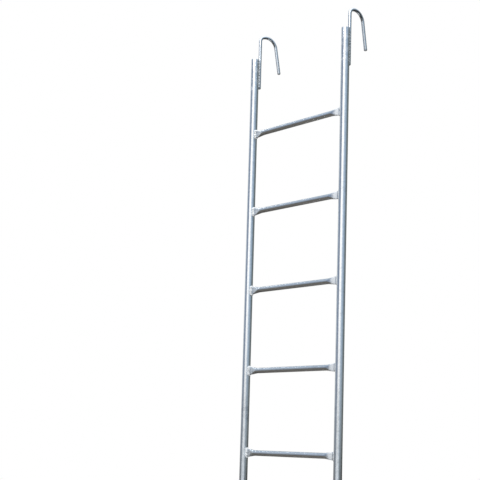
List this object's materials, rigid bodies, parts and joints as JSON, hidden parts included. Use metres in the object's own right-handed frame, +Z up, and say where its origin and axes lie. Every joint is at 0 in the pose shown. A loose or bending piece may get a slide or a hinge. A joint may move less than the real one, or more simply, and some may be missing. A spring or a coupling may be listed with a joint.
{
  "type": "hook ladder",
  "caption": "Rigid escape ladder of round galvanised tube: two stiles joined by rungs with flattened, welded ends, and a bent round-bar hook welded behind the head of each stile.",
  "frame": {"origin": "on the ground under the centre of the ladder's overall box, midway between the stiles; the stiles stand a little in front of it and the hooks reach behind it", "axes": "+X across the ladder to the right of a person facing it, +Y from that person through the ladder, the way the hooks reach, +Z up along the stiles"},
  "size_m": [0.56, 0.1276, 3.102],
  "materials": {
    "tube": "bright galvanised tube with faint spangle, streaks and dull grey patches",
    "hook_bar": "zinc-coated drawn round bar, smooth and slightly duller than the tube",
    "weld": "rippled weld bead touched up with bright zinc spray"
  },
  "bodies": {
    "root": {"hook_left": "hook_bar", "hook_right": "hook_bar", "rung_1": "tube", "rung_2": "tube", "rung_3": "tube", "rung_4": "tube", "rung_5": "tube", "rung_6": "tube", "rung_7": "tube", "rung_8": "tube", "rung_9": "tube", "stile_left": "tube", "stile_right": "tube", "weld_hook_left_inner": "weld", "weld_hook_left_outer": "weld", "weld_hook_right_inner": "weld", "weld_hook_right_outer": "weld", "weld_rung_1_left": "weld", "weld_rung_1_right": "weld", "weld_rung_2_left": "weld", "weld_rung_2_right": "weld", "weld_rung_3_left": "weld", "weld_rung_3_right": "weld", "weld_rung_4_left": "weld", "weld_rung_4_right": "weld", "weld_rung_5_left": "weld", "weld_rung_5_right": "weld", "weld_rung_6_left": "weld", "weld_rung_6_right": "weld", "weld_rung_7_left": "weld", "weld_rung_7_right": "weld", "weld_rung_8_left": "weld", "weld_rung_8_right": "weld", "weld_rung_9_left": "weld", "weld_rung_9_right": "weld"}
  },
  "joints": []
}
